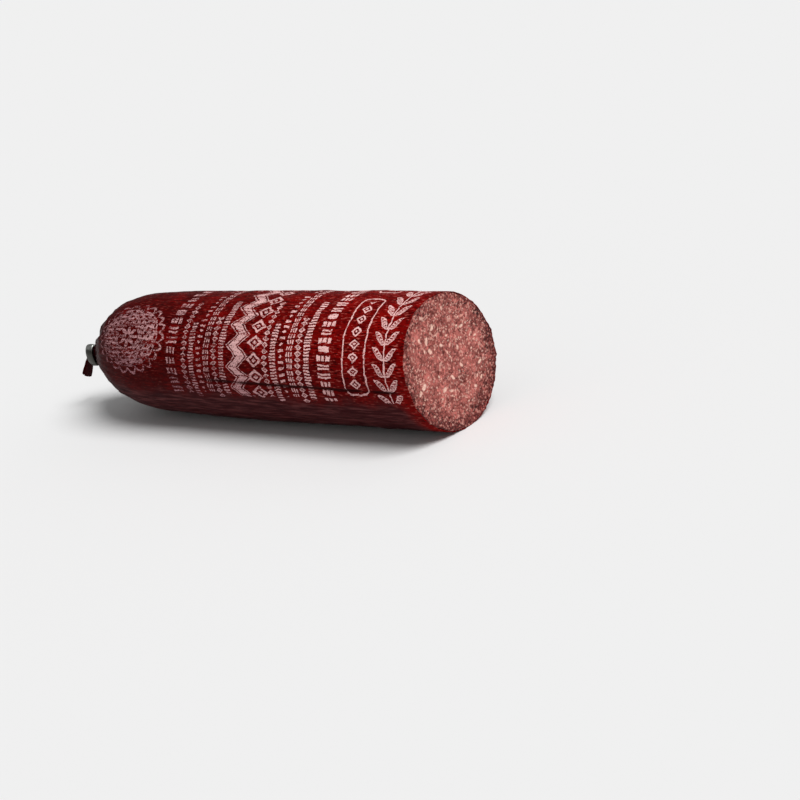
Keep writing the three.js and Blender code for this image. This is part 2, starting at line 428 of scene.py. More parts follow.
def rim_wave(station, angle):
    """How far the torn edge of the film strays along the sausage."""
    wave = waves(angle, 5, 8 * MM) + waves(angle, 19)
    return RIM_TEAR * wave * (1 - smoothstep(station, RIM_STATION, 5 * MM))


def casing_stations():
    """Rows along the film, closer together at the cut, on the shoulder and in the gathers."""
    return rows_in([(RIM_STATION, 6 * MM, 9), (6 * MM, BELLY_END, 106), (BELLY_END, SHOULDER_END, 96),
                    (SHOULDER_END, STUB_END, 50)]) + [STUB_END]


def inner_stations():
    """Fewer rows along the hidden wall, from the closed end of the cavity to the rim."""
    rows = rows_in([(RIM_STATION, BELLY_END, 9), (BELLY_END, CAVITY_CAP_START, 9),
                    (CAVITY_CAP_START, CAVITY_CAP_END, 6)])
    return rows[::-1]


# Radii that mark the two layers of the blank tube
OUTER, INNER = 2.0, 1.0


def blank_tube(columns):
    """A plain double tube that is spun round X: x is the station, and the radius tells the layer."""
    bm = bmesh.new()
    outline = [(CAVITY_CAP_END, 0.0)] + [(s, INNER) for s in inner_stations()]
    outline += [(s, OUTER) for s in casing_stations()] + [(STUB_END, 0.0)]
    verts = [bm.verts.new((station, 0, -radius)) for station, radius in outline]
    edges = [bm.edges.new(pair) for pair in zip(verts, verts[1:])]
    bmesh.ops.spin(bm, geom=verts + edges, cent=(0, 0, 0), axis=(1, 0, 0), dvec=(0, 0, 0),
                   angle=TURN, steps=columns, use_merge=True, use_duplicate=False)
    bmesh.ops.remove_doubles(bm, verts=bm.verts, dist=MM / 1000)
    return bm


def wrap_film(bm, station_layer, angle_layer):
    """UV in metres: film length from the cut, and girth from underneath."""
    lengths = film_length()
    wrap = bm.loops.layers.uv.new("wrap")
    for face in bm.faces:
        middle = None
        for loop in face.loops:
            angle = loop.vert[angle_layer]
            station = loop.vert[station_layer]
            middle = angle if middle is None else middle
            angle += TURN * round((middle - angle) / TURN)
            row = station / MM
            whole = int(row)
            length = lerp(lengths[whole], lengths[whole + 1], row - whole)
            loop[wrap].uv = (length, angle * BODY_RADIUS)


def make_casing_mesh(settings):
    bm = blank_tube(settings.columns)
    station_layer = bm.verts.layers.float.new("station")
    angle_layer = bm.verts.layers.float.new("angle")
    crease_layer = bm.verts.layers.float.new("crease")
    for vert in bm.verts:
        station = vert.co.x
        layer = math.hypot(vert.co.y, vert.co.z)
        angle = math.atan2(-vert.co.y, -vert.co.z) % TURN
        vert[station_layer] = station
        vert[angle_layer] = angle
        vert[crease_layer] = crease(station, angle)
        outer = layer > (OUTER + INNER) / 2 or station > CAVITY_CAP_END
        depth = 0 if outer else wall_depth(station, settings)
        sizes = skin_sizes(station, angle, depth, settings) if layer > INNER / 2 else (0, 0)
        vert.co = skin_place(station + rim_wave(station, angle), angle, sizes, depth)
    wrap_film(bm, station_layer, angle_layer)
    bmesh.ops.recalc_face_normals(bm, faces=bm.faces)
    for face in bm.faces:
        face.smooth = True
    for edge in bm.edges:
        if edge.is_manifold and edge.calc_face_angle() > SHARP_EDGE:
            edge.smooth = False
    return bm


# Patterns on the film and the cut, made of shader nodes

def either(tree, *masks):
    """1 where any of the masks is 1."""
    joined = masks[0]
    for mask in masks[1:]:
        joined = add(tree, LARGEST, joined, mask)
    return joined


def both(tree, *masks):
    """1 where all of the masks are 1."""
    joined = masks[0]
    for mask in masks[1:]:
        joined = add(tree, TIMES, joined, mask)
    return joined


def within(tree, value, low, high):
    """1 where a value lies between two limits."""
    return both(tree, add(tree, ABOVE, value, low), add(tree, BELOW, value, high))


def stripes(tree, value, half_width, *middles):
    """1 where a value is close to any of the middle lines."""
    return either(tree, *(add(tree, NEAR, value, middle, half_width) for middle in middles))


def apart(tree, value, middle):
    """How far a value is from a middle."""
    return add(tree, SIZE, add(tree, MINUS, value, middle))


def distance(tree, x, y):
    """How far a point is from the middle of a plane."""
    return add(tree, VECTOR_LENGTH, add(tree, COMBINE, x, y)).outputs["Value"]


def split(tree, value):
    """The whole part of a value, and the rest of it."""
    whole = add(tree, FLOOR, value)
    return whole, add(tree, MINUS, value, whole)


def weighted(tree, *parts):
    """The sum of some values, each times its weight."""
    total = 0.0
    for value, weight in parts:
        total = add(tree, TIMES_PLUS, value, weight, total)
    return total


def layered(tree, colour, *layers):
    """A colour with others laid over it in turn, each by its own mask. Plain colours are sRGB hex."""
    for mask, over in layers:
        under, over = (linear_colour(end) if isinstance(end, str) else end for end in (colour, over))
        colour = add(tree, MIX, mask, data_type="RGBA", A=under, B=over).outputs["Result"]
    return colour


def dress(tree, shader, colour, roughness, height, bump_depth, strength=0.8):
    """Give a shader its colour, its roughness, and a bump with a real depth."""
    bump = add(tree, "Bump", Height=height, Strength=strength, Distance=bump_depth)
    tree.links.new(colour, shader.inputs["Base Color"])
    tree.links.new(roughness.outputs[0], shader.inputs["Roughness"])
    tree.links.new(bump.outputs[0], shader.inputs["Normal"])


# Ink

# Each pattern is a mask from 0 to 1 over the film, laid out in millimetres of film from the cut, and of girth
# from underneath or from the top. Places and sizes inside a cell are shares of the cell.
PRINT_REACH = 58.0
STITCH_PITCH = 5.6
STITCH_LENGTH = 2.9
STITCH_SPANS = ((58.0, 90.5), (117.0, 151.0))
STITCH_TOP = 21.0
STITCH_LOW = 60.0
RAGGED = 24.0


def stitch_rows(tree, along, girth, first, last):
    """Rows of small marks, one motif to a row: paired bars, lozenges, rungs, then single bars and dots."""
    row, across = split(tree, add(tree, OVER, add(tree, MINUS, along, first), STITCH_PITCH))
    row_draw = add(tree, RANDOM, W=row, noise_dimensions="1D")
    cell, inside = split(tree, weighted(tree, (girth, 1 / STITCH_LENGTH), (row_draw, 7.0)))
    draw = add(tree, RANDOM, add(tree, COMBINE, row, cell), noise_dimensions="2D").outputs["Value"]
    tall = stripes(tree, across, add(tree, RANGE, draw, 0.0, 1.0, 0.28, 0.38), 0.5)
    pair = both(tree, stripes(tree, inside, 0.13, 0.24, 0.72), tall)
    rungs = either(tree, stripes(tree, across, 0.075, 0.24, 0.76), stripes(tree, across, 0.06, 0.5))
    rungs = both(tree, rungs, stripes(tree, inside, 0.34, 0.45))
    size = weighted(tree, (apart(tree, across, 0.5), 1.15), (apart(tree, inside, 0.5), 1.0))
    lozenge = either(tree, within(tree, size, 0.24, 0.46), add(tree, BELOW, size, 0.1))
    single = both(tree, stripes(tree, inside, 0.19, 0.45), tall, add(tree, BELOW, draw, 0.5))
    dot = both(tree, add(tree, BELOW, size, 0.26), add(tree, ABOVE, draw, 0.5))
    motifs = (pair, lozenge, rungs, either(tree, single, dot))
    kind = add(tree, REMAINDER, row, len(motifs))
    marks = either(tree, *(both(tree, motif, stripes(tree, kind, 0.5, i)) for i, motif in enumerate(motifs)))
    # Each row stops at its own place near the top, and starts at its own place on each side.
    from_top = apart(tree, girth, HALF_GIRTH)
    stop = add(tree, ABOVE, weighted(tree, (row_draw, RAGGED), (from_top, 1.0)), STITCH_TOP)
    start = add(tree, BELOW, weighted(tree, (row_draw, 0.16 * RAGGED), (from_top, 1.0)), STITCH_LOW)
    return both(tree, marks, within(tree, along, first, last), stop, start)


def bar_column(tree, along, girth, centre, half_length, pitch):
    """A row of bold bars that lie along the sausage: some whole, some split lengthwise, some cut in three."""
    cell, inside = split(tree, add(tree, OVER, girth, pitch))
    draw = add(tree, RANDOM, W=cell, noise_dimensions="1D")
    reach = add(tree, RANGE, draw, 0.0, 1.0, half_length * 0.7, half_length)
    bars = both(tree, stripes(tree, along, reach, centre), stripes(tree, inside, 0.3, 0.45))
    kind = add(tree, FRACTION, add(tree, TIMES, draw, 7.0))
    slit = both(tree, stripes(tree, inside, 0.09, 0.45), within(tree, kind, 0.15, 0.6))
    cuts = stripes(tree, apart(tree, along, centre), 0.45, half_length * 0.32)
    cuts = both(tree, cuts, add(tree, ABOVE, kind, 0.6))
    return add(tree, MINUS, bars, either(tree, slit, cuts), use_clamp=True)


def zigzag_band(tree, along, girth, centre, pitch, swing=3.6):
    """A broad solid zigzag with a thin line on each side."""
    wave = add(tree, ZIGZAG, girth, pitch / 2)
    off = apart(tree, along, add(tree, RANGE, wave, 0.0, pitch / 2, centre - swing, centre + swing))
    return either(tree, add(tree, BELOW, off, 2.7), stripes(tree, off, 0.4, 4.3))


def lozenge_row(tree, along, girth, centre, pitch, half_width, half_height):
    """Hollow lozenges in a row round the sausage."""
    inside = add(tree, FRACTION, add(tree, OVER, girth, pitch))
    size = weighted(tree, (apart(tree, inside, 0.5), pitch / half_height),
                    (apart(tree, along, centre), 1 / half_width))
    return either(tree, within(tree, size, 0.62, 1.0), add(tree, BELOW, size, 0.28))


def ruled_frame(tree, along, from_top, centre, middle, half_along, half_round, corner, line):
    """Outline of a panel with round corners."""
    over_x = add(tree, MINUS, apart(tree, along, centre), half_along - corner)
    over_y = add(tree, MINUS, apart(tree, from_top, middle), half_round - corner)
    reach = distance(tree, add(tree, LARGEST, over_x, 0.0), add(tree, LARGEST, over_y, 0.0))
    return stripes(tree, reach, line / 2, corner)


def leaf_sprigs(tree, along, girth, centre, pitch):
    """Pairs of ribbed leaves on a stem that runs round the sausage."""
    side = apart(tree, along, centre)
    lifted = weighted(tree, (girth, 1 / pitch), (side, -0.85 / pitch))
    off = add(tree, TIMES, apart(tree, add(tree, FRACTION, lifted), 0.5), pitch)
    # A leaf is 6.6 mm long and starts 0.4 mm from the middle of the stem. It is widest halfway.
    bulge = add(tree, OVER, add(tree, MINUS, side, 3.7), 3.3)
    half = weighted(tree, (add(tree, TIMES, bulge, bulge), -1.75), (1.0, 1.75))
    ribs = add(tree, FRACTION, weighted(tree, (side, 1 / 1.25), (off, 1 / 1.25)))
    blade = both(tree, add(tree, BELOW, off, half), stripes(tree, ribs, 0.27, 0.5))
    return either(tree, blade, stripes(tree, off, 0.24, half), add(tree, BELOW, side, 0.38))


def medallion(tree, along, from_top, centre, middle, half_along, half_round):
    """A lacy rosette: a flower, a ring, and two sets of crossing spirals with a scalloped edge."""
    x = add(tree, OVER, add(tree, MINUS, along, centre), half_along)
    y = add(tree, OVER, add(tree, MINUS, from_top, middle), half_round)
    reach = distance(tree, x, y)
    bearing = add(tree, BEARING, y, x)
    spirals = [add(tree, FRACTION, weighted(tree, (bearing, arms / TURN), (reach, 5.6)))
               for arms in (-15, 15)]
    lace = both(tree, either(tree, *(stripes(tree, spiral, 0.27, 0.5) for spiral in spirals)),
                within(tree, reach, 0.36, 0.86))
    petals, scallops = (add(tree, SIZE, add(tree, COSINE, add(tree, TIMES, bearing, count)))
                        for count in (4.0, 11.0))
    petal_edge = add(tree, RANGE, petals, 0.0, 1.0, 0.07, 0.3)
    flower = both(tree, add(tree, BELOW, reach, petal_edge), add(tree, ABOVE, reach, 0.05))
    rim = stripes(tree, reach, 0.035, add(tree, RANGE, scallops, 0.0, 1.0, 0.9, 1.03))
    return either(tree, lace, flower, rim, stripes(tree, reach, 0.025, 0.34))


def print_mask(tree, along, girth):
    """All the ink on the film."""
    from_top = apart(tree, girth, HALF_GIRTH)
    bands = either(
        tree,
        leaf_sprigs(tree, along, girth, centre=12.0, pitch=7.4),
        bar_column(tree, along, girth, centre=50.0, half_length=4.2, pitch=4.1),
        lozenge_row(tree, along, girth, centre=96.0, pitch=8.2, half_width=5.4, half_height=3.6),
        zigzag_band(tree, along, girth, centre=108.5, pitch=10.5),
        bar_column(tree, along, girth, centre=157.5, half_length=4.0, pitch=5.2),
    )
    bands = both(tree, bands, add(tree, BELOW, from_top, PRINT_REACH))
    panel = ruled_frame(tree, along, from_top, centre=31.0, middle=29.0, half_along=7.0, half_round=25.0,
                        corner=3.5, line=0.8)
    panel_row = lozenge_row(tree, along, girth, centre=31.0, pitch=6.1, half_width=3.3, half_height=2.5)
    panel_row = both(tree, panel_row, stripes(tree, from_top, 22.0, 29.0))
    rows = [stitch_rows(tree, along, girth, first, last) for first, last in STITCH_SPANS]
    rosette = medallion(tree, along, from_top, centre=193.0, middle=29.5, half_along=28.0, half_round=19.0)
    return either(tree, bands, panel, panel_row, *rows, rosette)


def worn_print(tree, film, along, wrinkles):
    """The print as it is on the film: a little out of true, cracked, and more worn towards the clip."""
    # It wanders by about half a millimetre, because the film shrank unevenly.
    wander = add(tree, NOISE, film, Scale=0.25, Detail=4.0, Roughness=0.62)
    shift = add(tree, VECTOR_MINUS, wander.outputs["Color"], (0.5, 0.5, 0.5))
    shift = add(tree, VECTOR_SCALE, shift, Scale=2.6)
    shifted = add(tree, SEPARATE, add(tree, VECTOR_PLUS, film, shift))
    ink = print_mask(tree, shifted.outputs["X"], shifted.outputs["Y"])
    # It is worn in grains of about 0.8 mm, and cracked along the wrinkles.
    grains = add(tree, NOISE, film, Scale=1.3, Detail=4.0, Roughness=0.75)
    wear = add(tree, RANGE, along, 40.0, 210.0, 0.0, 0.085)
    left = weighted(tree, (grains, 0.62), (wrinkles, 0.38), (wear, -1.0))
    return both(tree, ink, add(tree, RANGE, left, 0.41, 0.47, 0.0, 1.0))


GLINT_COLOUR = "C4645A"
PIT_SHADE_COLOUR = "220405"
LOW_SHADE_COLOUR = "3A0608"
STREAK_COLOUR = "683838"
NECK_SHADE_COLOUR = "28070B"
CREASE_SHADE_COLOUR = "2C0707"


def film_dye_and_painted_light(tree, settings, along, from_top, low, wrinkles, dashes, blotches):
    """The film without its print: dyed and mottled, with painted glints near the cut and painted shade in its
    pits, underneath, low on each side and towards the gathers.
    """
    # Painted shade darkens the film towards the clip, and the film is also mottled where wrinkles and
    # blotches meet.
    clipward_shade = add(tree, RANGE, along, 40.0, 230.0, 0.0, 0.85)
    mottle_and_shade = add(tree, RANGE, weighted(tree, (wrinkles, 1.0), (blotches, 0.8)), 0.72, 1.08, 0.0, 0.75)
    mottle_and_shade = add(tree, PLUS, mottle_and_shade, clipward_shade, use_clamp=True)
    # Painted glints lighten the crests of the dashes, fewer towards the clip.
    glints = both(tree, add(tree, RANGE, dashes, 0.6, 0.67, 0.0, 0.75),
                     add(tree, RANGE, along, 30.0, 150.0, 1.0, 0.3))
    # Painted shade darkens the low places of the dashed relief.
    pit_shade = add(tree, RANGE, dashes, 0.44, 0.36, 0.0, 0.85)
    # The strip without print underneath is darkened as painted shade, and streaked. Its edge wavers, and it
    # stops short of the cut.
    underside_shade = add(tree, RANGE, weighted(tree, (blotches, 9.0), (from_top, 1.0)), 60.5, 66.5, 0.0, 0.92)
    underside_shade = both(tree, underside_shade, add(tree, RANGE, along, 4.0, 10.0, 0.0, 1.0))
    streaks = add(tree, RANGE, wrinkles, 0.47, 0.64, 0.0, 0.8)
    shaded_underside = layered(tree, settings.shaded_underside_colour, (streaks, STREAK_COLOUR))
    # Painted shade darkens the film towards the gathers at the neck, and less so on the loose film beyond the
    # clip, which stays redder.
    clip_along = film_length()[round(CLIP_STATION / MM)] / MM
    neck_shade = both(tree, add(tree, RANGE, along, 200.0, clip_along - 8.0, 0.0, 0.9),
               add(tree, RANGE, along, clip_along, clip_along + 3.0, 1.0, 0.45))
    return layered(
        tree, settings.film_colour, (mottle_and_shade, settings.mottle_and_shade_colour), (glints, GLINT_COLOUR),
        (pit_shade, PIT_SHADE_COLOUR), (low, LOW_SHADE_COLOUR), (underside_shade, shaded_underside), (neck_shade, NECK_SHADE_COLOUR),
    )


def film_material(settings):
    """Fibrous casing, dyed red and printed in one pale ink. It was soaked, filled and dried, so it clings in
    fine lengthwise wrinkles, looks satin and not wet, and its ink is cracked and a little worn."""
    material, tree, shader = new_material("fibrous_casing_printed", {"Specular IOR Level": 0.01})
    film = add(tree, VECTOR_SCALE, add(tree, "UVMap", uv_map="wrap"), Scale=1 / MM)
    at = add(tree, SEPARATE, film)
    along = at.outputs["X"]
    from_top = apart(tree, at.outputs["Y"], HALF_GIRTH)
    # Wrinkles run lengthwise: about 1.4 mm apart round the film, and many times as long.
    lengthwise = add(tree, MAPPING, film, Scale=(0.06, 0.7, 1.0))
    wrinkles = add(tree, NOISE, lengthwise, Scale=1.0, Detail=4.0, Roughness=0.62)
    dashes = add(tree, MAPPING, film, Scale=(0.3, 1.35, 1.0), Location=(40, 0, 0))
    dashes = add(tree, NOISE, dashes, Scale=1.0, Detail=2.0)
    blotches = add(tree, NOISE, film, Scale=0.09, Detail=3.0)

    # Low on each side painted shade darkens the film and its ink, and the ink also fades towards the clip.
    low = add(tree, RANGE, from_top, 34.0, 62.0, 0.0, 0.66)
    low = both(tree, low, add(tree, RANGE, along, 4.0, 18.0, 0.35, 1.0))
    base = film_dye_and_painted_light(tree, settings, along, from_top, low, wrinkles, dashes, blotches)
    ink = worn_print(tree, film, along, wrinkles)
    ink_fade_and_shade = add(tree, PLUS, add(tree, RANGE, along, 60.0, 200.0, 0.0, 0.8), low, use_clamp=True)
    ink_colour = layered(tree, settings.ink_colour, (ink_fade_and_shade, settings.faded_and_shaded_ink_colour))
    # Painted shade darkens the crease, over the film and its ink.
    crease_shade = add(tree, ATTRIBUTE, attribute_name="crease").outputs["Fac"]
    crease_shade = add(tree, RANGE, crease_shade, 0.15, 0.75, 0.0, 0.95)
    colour = layered(tree, base, (add(tree, TIMES, ink, 0.97), ink_colour), (crease_shade, CREASE_SHADE_COLOUR))

    grain = add(tree, NOISE, film, Scale=2.2, Detail=3.0)
    height = weighted(tree, (wrinkles, 0.5), (dashes, 0.35), (grain, 0.12))
    rough = weighted(tree, (ink, 0.14), (add(tree, RANGE, grain, 0.3, 0.7, 0.36, 0.5), 1.0))
    dress(tree, shader, colour, rough, height, bump_depth=0.45 * MM)
    return material


# Meat

FLECK_SEED = 7
MEAT_INSET = 0.1 * MM
DEEP_INSET = 1 * MM
EDGE_ROUNDING = 0.9 * MM
CRUMB_SPILL = 0.25 * MM
SLOW_LEVEL = 0.25 * MM


def meat_stations():
    """Rows down the hidden side of the filling."""
    return rows_in([(1 * MM, 8 * MM, 3), (8 * MM, BELLY_END, 7), (BELLY_END, CAVITY_CAP_START, 8),
                    (CAVITY_CAP_START, CAVITY_CAP_END - 0.4 * MM, 5)])


def blank_plug(grid):
    """A round face of even quads at x = 0, drawn out into a plug of radius 1 that is closed at its end."""
    bm = bmesh.new()
    bmesh.ops.create_grid(bm, x_segments=grid, y_segments=grid, size=1.0)
    for vert in bm.verts:
        across, up = vert.co.x, vert.co.y
        vert.co = (0, across * math.sqrt(1 - up * up / 2), up * math.sqrt(1 - across * across / 2))
    ring = [edge for edge in bm.edges if edge.is_boundary]
    reached = 0.0
    for station in meat_stations():
        verts, ring = extruded(bm, ring)
        bmesh.ops.translate(bm, verts=verts, vec=(station - reached, 0, 0))
        reached = station
    verts, _ = extruded(bm, ring)
    bmesh.ops.pointmerge(bm, verts=verts, merge_co=(CAVITY_CAP_END, 0, 0))
    return bm


def scatter_flecks(settings, radius):
    """Larger flecks of fat on the cut, biggest on the seen side: place, half sizes and the way each lies."""
    draw = random.Random(FLECK_SEED)
    flecks = []
    tree = kdtree.KDTree(settings.fleck_count)
    for i in range(settings.fleck_count):
        reach = radius * 0.93 * math.sqrt(draw.random())
        bearing = draw.uniform(0, TURN)
        place = Vector((reach * math.cos(bearing), reach * math.sin(bearing), 0))
        short = draw.uniform(0.4, 1.0) * (1 - 0.4 * place.x / radius) * MM
        flecks.append((place, short * draw.uniform(1.1, 2.1), short, draw.uniform(0, math.pi)))
        tree.insert(place, i)
    tree.balance()
    return flecks, tree


def fleck_at(point, flecks, tree):
    """How far inside a fleck a point is, from 0 to 1."""
    best = 0.0
    for _, index, _ in tree.find_n(point, 3):
        place, long, short, lie = flecks[index]
        away = point - place
        up = away.x * math.sin(lie) + away.y * math.cos(lie)
        across = away.x * math.cos(lie) - away.y * math.sin(lie)
        ragged = 1 + 0.35 * noise.noise(point / (0.8 * MM))
        best = max(best, 1 - smoothstep(math.hypot(up / long, across / short) * ragged, 0.65, 1.05))
    return best


def meat_grain(point, settings, flecks, tree):
    """Height, fat and tone of the cut at a point: packed grains, each with its own colour and level."""
    warp = noise.noise_vector(point / (2.6 * MM)) * 0.6
    place = Vector((point.x / 1.2, point.y, 0)) / settings.grain_size + warp
    distances, centres = noise.voronoi(place)
    cell = centres[0]
    draw = noise.cell(cell * 5.31 + Vector((0.37, 0.61, 0.13)))
    level = noise.cell(cell * 3.77 + Vector((0.91, 0.23, 0.47)))
    border = smoothstep(distances[1] - distances[0], 0.0, 0.35)
    fine = noise.noise(point / (0.5 * MM))
    broad = noise.noise(point / (7 * MM) + Vector((3, 1, 4)))
    fleck = fleck_at(point, flecks, tree)
    common = 0.12 * smoothstep(point.length, 0.5 * BODY_RADIUS, BODY_RADIUS)
    fat = max(0.75 * smoothstep(draw + common, 0.8, 0.88) * smoothstep(border, 0.0, 0.5), fleck)
    height = (0.35 * border + 0.4 * level + 0.3 * fine - 0.4) * settings.grain_height + SLOW_LEVEL * broad
    height = lerp(height, 0.3 * settings.grain_height, fleck * 0.7)
    tone = clamp(0.24 + 0.42 * level + 0.14 * border + 0.4 * fine + 0.55 * broad)
    return height, fat, tone


def make_meat_mesh(settings, film):
    bm = blank_plug(settings.grid)
    fat_layer = bm.verts.layers.float.new("fat")
    tone_layer = bm.verts.layers.float.new("tone")
    flecks, tree = scatter_flecks(settings, BODY_RADIUS)
    for vert in bm.verts:
        station, across, up = vert.co
        reach = math.hypot(across, up)
        angle = math.atan2(-across, -up)
        thick = smoothstep(station, THIN_WALL_END, THICK_WALL_START)
        depth = lerp(film.wall + MEAT_INSET, DEEP_INSET, thick)
        width, height = skin_sizes(station, angle, depth, film)
        if station > 0:
            vert.co = skin_place(station, angle, (width * reach, height * reach), depth)
            continue
        point = Vector((across, up, 0)) * BODY_RADIUS
        raised, vert[fat_layer], vert[tone_layer] = meat_grain(point, settings, flecks, tree)
        # The edge is rounded, and crumbs have broken away from it here and there.
        crumbs = waves(angle, 14, 2 * MM)
        rounding = EDGE_ROUNDING * (1 + 0.9 * crumbs)
        inset = clamp(1 - (1 - reach) * width / rounding)
        station = rounding * (1 - math.sqrt(1 - inset * inset))
        spill = 1 + CRUMB_SPILL * crumbs * inset / BODY_RADIUS
        vert.co = skin_place(station, angle, (reach * width * spill, reach * height * spill), depth)
        vert.co.x += raised * (1 + 1.2 * inset)
    bmesh.ops.recalc_face_normals(bm, faces=bm.faces)
    for face in bm.faces:
        face.smooth = True
    return bm


def meat_material(settings):
    """Finely ground pork and beef, cured and dried firm, and cut with a long knife. The cut is grainy and a
    little moist, lean grains are rosy brown, fat grains are pale, and the drier edge is darker, with painted
    shade that widens it low on the far side."""
    material, tree, shader = new_material("ground_cured_meat_sliced", {
        "Specular IOR Level": 0.2, "Subsurface Weight": 0.2, "Subsurface Radius": (1.0, 0.35, 0.25),
        "Subsurface Scale": 0.9 * MM})
    place = add(tree, "TexCoord").outputs["Object"]
    fat, tone = (add(tree, ATTRIBUTE, attribute_name=name).outputs["Fac"] for name in ("fat", "tone"))
    # Specks of about 0.85 mm, and fibres and smears finer than that.
    specks = add(tree, "TexVoronoi", place, Scale=1 / (0.85 * MM))
    speck_draw = add(tree, "SeparateColor", specks.outputs["Color"]).outputs["Red"]
    fine = add(tree, NOISE, place, Scale=1 / (1.3 * MM), Detail=4.0, Roughness=0.6)
    slow = add(tree, NOISE, place, Scale=1 / (5 * MM), Detail=3.0, Roughness=0.6)
    patches = add(tree, NOISE, place, Scale=1 / (2.4 * MM), Detail=2.0)
    light = weighted(tree, (tone, 0.4), (speck_draw, 0.24), (fine, 0.5), (patches, 0.5))
    light = add(tree, RANGE, light, 0.46, 1.04, 0.0, 1.0)
    smeared_fat = both(tree, fat, add(tree, RANGE, fine, 0.3, 0.6, 0.6, 1.0))
    fat_share = either(tree, smeared_fat, add(tree, RANGE, speck_draw, 0.86, 0.9, 0.0, 0.34))
    lean = layered(tree, settings.dark_colour, (light, settings.lean_colour))
    body = layered(tree, lean, (fat_share, settings.fat_colour))
    # The outer 3 to 6 mm dried most, so they are darker and greyer. The ring's centre is moved up and to the
    # near side, so that as painted shade it is wider low on the far side.
    offset = add(tree, VECTOR_MINUS, place, (0, -1.4 * MM, AXIS_HEIGHT + 2 * MM))
    at = add(tree, SEPARATE, offset)
    reach = weighted(tree, (slow, 9 * MM), (distance(tree, at.outputs["Y"], at.outputs["Z"]), 1.0))
    dried_rim_and_shade = add(tree, RANGE, reach, BODY_RADIUS - 5 * MM, BODY_RADIUS + 4 * MM, 0.0, 1.0)
    # Specks in the dried ring took on the tint unevenly, some hardly at all.
    uneven = add(tree, RANGE, weighted(tree, (speck_draw, 0.5), (fine, 1.0)), 0.5, 1.0, 1.5, 0.4)
    dried_rim_and_shade = add(tree, TIMES, dried_rim_and_shade, uneven, use_clamp=True)
    rim_and_shade_tint = linear_colour(settings.rim_and_shade_colour)
    rim = add(tree, MIX, dried_rim_and_shade, data_type="RGBA", blend_type="MULTIPLY", A=body, B=rim_and_shade_tint).outputs["Result"]
    height = weighted(tree, (speck_draw, 0.35), (fine, 1.0))
    rough = add(tree, RANGE, fine, 0.3, 0.7, 0.4, 0.6)
    dress(tree, shader, rim, rough, height, bump_depth=0.3 * MM)
    return material


# Clip

CLIP_STEPS = 120
WIRE_SIDES = 20
CLIP_SHADE_COLOUR = "383631"


def wire_half_sizes(share, angle):
    """Half width and half thickness of the wire, as shares of the plain wire's, from one end to the other."""
    # The cut ends are pinched thinner, and the wire is dented a little by the closing die.
    pinch = 0.82 + 0.18 * smoothstep(min(share, 1 - share), 0, 0.03)
    dent = 1 + 0.05 * math.sin(9 * angle) * math.sin(3 * angle)
    return pinch, pinch * dent


def squared(wave, power):
    """A sine or cosine with fuller shoulders, which rounds off a box less than a circle does."""
    return math.copysign(abs(wave) ** power, wave)


def make_clip_mesh(settings):
    """One flat wire with round edges, swept round the neck and open underneath."""
    bm = bmesh.new()
    reach = settings.clearance + settings.thickness / 2
    half_width = NECK_HALF_WIDTH + reach
    half_height = NECK_HALF_HEIGHT + reach
    centre = Vector((CUT_X - CLIP_STATION, 0, middle_line(CLIP_STATION)[1]))
    ring = bmesh.ops.create_circle(bm, cap_ends=True, segments=WIRE_SIDES, radius=1.0)["verts"]
    for step in range(CLIP_STEPS + 1):
        if step:
            fresh, _ = extruded(bm, edges_between(ring))
            ring = [next(e.other_vert(v) for e in v.link_edges if e.other_vert(v) in fresh) for v in ring]
        share = step / CLIP_STEPS
        angle = lerp(settings.gap_angle / 2, TURN - settings.gap_angle / 2, share)
        outward = Vector((0, -math.sin(angle) / half_width, -math.cos(angle) / half_height)).normalized()
        place = Vector((0, -half_width * math.sin(angle), -half_height * math.cos(angle)))
        flat, thick = wire_half_sizes(share, angle)
        for i, vert in enumerate(ring):
            side = TURN * i / WIRE_SIDES
            along = squared(math.cos(side), 0.55) * flat * CLIP_LENGTH / 2
            out = squared(math.sin(side), 0.7) * thick * settings.thickness / 2
            vert.co = centre + place + Vector((along, 0, 0)) + outward * out
    bmesh.ops.edgeloop_fill(bm, edges=edges_between(ring))
    bmesh.ops.recalc_face_normals(bm, faces=bm.faces)
    for face in bm.faces:
        face.smooth = len(face.verts) == 4
    return bm


def metal_material(settings):
    """Soft aluminium wire, rolled flat and closed in a die. It is dull grey, with fine drawing lines along
    the wire. Painted shade darkens it in patches and over its lower part, and leaves its top light as a
    painted highlight."""
    material, tree, shader = new_material("aluminium_wire_rolled", {"Metallic": 1.0})
    place = add(tree, "TexCoord").outputs["Object"]
    # Drawing lines about 0.15 mm apart across the width of the wire.
    lines = add(tree, MAPPING, place, Scale=(9.0, 1.0, 1.0))
    lines = add(tree, NOISE, lines, Scale=1 / (1.4 * MM), Detail=3.0)
    patch_noise = add(tree, NOISE, place, Scale=1 / (3 * MM), Detail=3.0)
    # Painted shade darkens the lower part.
    height = add(tree, SEPARATE, place).outputs["Z"]
    lower_shade = add(tree, RANGE, height, CLIP_HIGH.z - 1.5 * MM, CLIP_HIGH.z - 4.5 * MM, 0.0, 0.45)
    # Painted shade in patches and over the lower part.
    patchy_shade = add(tree, RANGE, add(tree, PLUS, patch_noise, lower_shade), 0.45, 0.75, 0.0, 0.95)
    colour = layered(tree, settings.metal_colour, (patchy_shade, CLIP_SHADE_COLOUR))
    rough = add(tree, RANGE, patch_noise, 0.35, 0.7, 0.26, 0.5)
    dress(tree, shader, colour, rough, lines, bump_depth=0.05 * MM, strength=0.35)
    return material


# Stage

